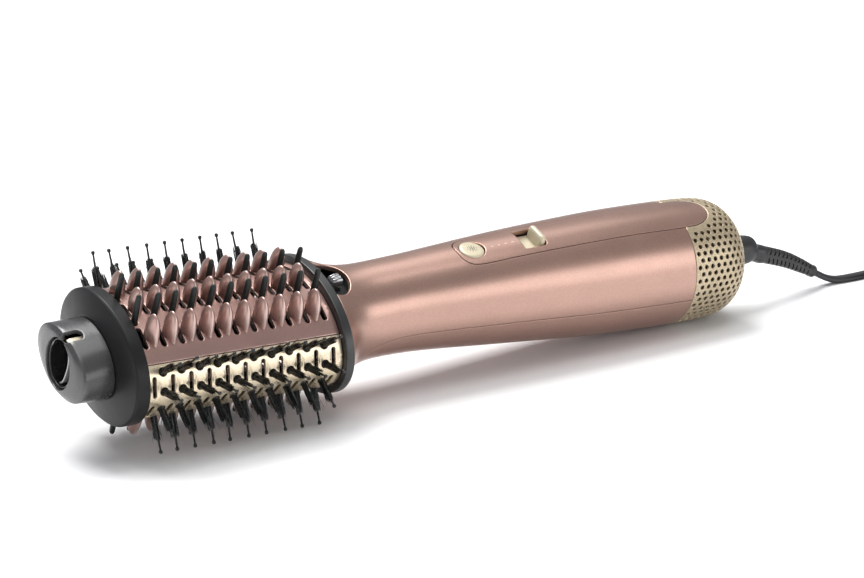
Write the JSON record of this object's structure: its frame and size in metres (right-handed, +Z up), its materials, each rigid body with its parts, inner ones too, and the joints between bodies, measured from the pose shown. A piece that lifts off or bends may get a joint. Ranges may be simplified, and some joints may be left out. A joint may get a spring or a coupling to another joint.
{
  "type": "hot air brush",
  "caption": "Corded hot air brush with an oval vented head of fins, bristles and ball pins, a round handle with slide switch and button, and a swivel cord.",
  "frame": {"origin": "middle of the bottom of the brush's box where it lies on a table, without the cord", "axes": "+X along the handle towards the cord, +Z up from the table"},
  "size_m": [0.5844, 0.1229, 0.0809],
  "materials": {
    "rose_plate": "satin metallic lacquer",
    "rose_shell": "satin metallic lacquer",
    "champagne_panel": "satin metallic lacquer",
    "champagne_grille": "fine metallic speckle",
    "charcoal_plastic": "satin",
    "black_plastic": "matte",
    "bristle_nylon": "matte",
    "cream_plastic": "soft gloss",
    "grey_gloss": "gloss",
    "steel": "machined",
    "mica": "matte",
    "board": "matte",
    "cord_rubber": "matte",
    "plug_plastic": "satin",
    "grey_core": "matte"
  },
  "bodies": {
    "handle": {"cord_run": "cord_rubber", "cord_coil": "cord_rubber", "cord_tie": "cord_rubber", "cord_tail": "cord_rubber", "plug": "plug_plastic", "handle_upper_shell": "rose_shell", "handle_lower_shell": "rose_shell", "control_panel": "rose_shell", "case_screw_front": "steel", "case_screw_rear": "steel", "socket": "black_plastic", "mouth_plate": "black_plastic", "latch_spring": "steel", "mica_tube": "mica", "heater_frame": "mica", "heater_coil": "steel", "thermal_cutout": "steel", "motor_body": "steel", "motor_mount": "black_plastic", "circuit_board": "board", "button_switch": "black_plastic", "switch_body": "black_plastic", "rear_grille": "champagne_grille", "dust_filter": "black_plastic", "cord_clamp": "black_plastic"},
    "head": {"front_cap": "charcoal_plastic", "tip_knob": "charcoal_plastic", "tip_sleeve": "cream_plastic", "tip_deflector": "black_plastic", "top_plate": "rose_plate", "bottom_plate": "rose_plate", "far_side_panel": "champagne_panel", "near_side_panel": "champagne_panel", "bristle_strip_top_near": "bristle_nylon", "bristle_strip_top_far": "bristle_nylon", "bristle_strip_bottom_near": "bristle_nylon", "bristle_strip_bottom_far": "bristle_nylon", "tuft_strip_near_outer_upper": "bristle_nylon", "tuft_strip_near_outer_lower": "bristle_nylon", "tuft_strip_far_outer_upper": "bristle_nylon", "tuft_strip_far_outer_lower": "bristle_nylon", "tuft_strip_near_inner_upper": "bristle_nylon", "tuft_strip_near_inner_lower": "bristle_nylon", "tuft_strip_far_inner_upper": "bristle_nylon", "tuft_strip_far_inner_lower": "bristle_nylon", "barrel_frame": "black_plastic", "air_core": "grey_core", "back_ring": "charcoal_plastic", "coupler": "black_plastic"},
    "slide_switch": {"slide_switch": "cream_plastic"},
    "push_button": {"push_button": "cream_plastic"},
    "release_latch": {"release_latch": "grey_gloss"},
    "fan": {"fan_wheel": "black_plastic", "motor_shaft": "steel"},
    "swivel": {"swivel_dome": "black_plastic", "strain_relief": "cord_rubber"}
  },
  "joints": [
    {"name": "head_release", "type": "slide", "parent": "handle", "child": "head", "axis": [-0.9991, 0, 0.0427], "range_m": [0, 0.022]},
    {"name": "switch_slide", "type": "slide", "parent": "handle", "child": "slide_switch", "axis": [-0.9991, 0, 0.0427], "range_m": [0, 0.008]},
    {"name": "button_press", "type": "slide", "parent": "handle", "child": "push_button", "axis": [-0.0399, 0.3611, -0.9317], "range_m": [0, 0.0012], "stiffness_N_per_m": 1200},
    {"name": "latch_press", "type": "slide", "parent": "handle", "child": "release_latch", "axis": [-0.0399, 0.3611, -0.9317], "range_m": [0, 0.0013], "stiffness_N_per_m": 1500},
    {"name": "fan_spin", "type": "hinge", "parent": "handle", "child": "fan", "pos_m": [0.0188, -0.00094, 0.03573], "axis": [0.9991, 0, -0.0427], "continuous": true},
    {"name": "cord_swivel", "type": "hinge", "parent": "handle", "child": "swivel", "pos_m": [0.16061, -0.00036, 0.02817], "axis": [0.9991, 0, -0.0427], "continuous": true}
  ]
}
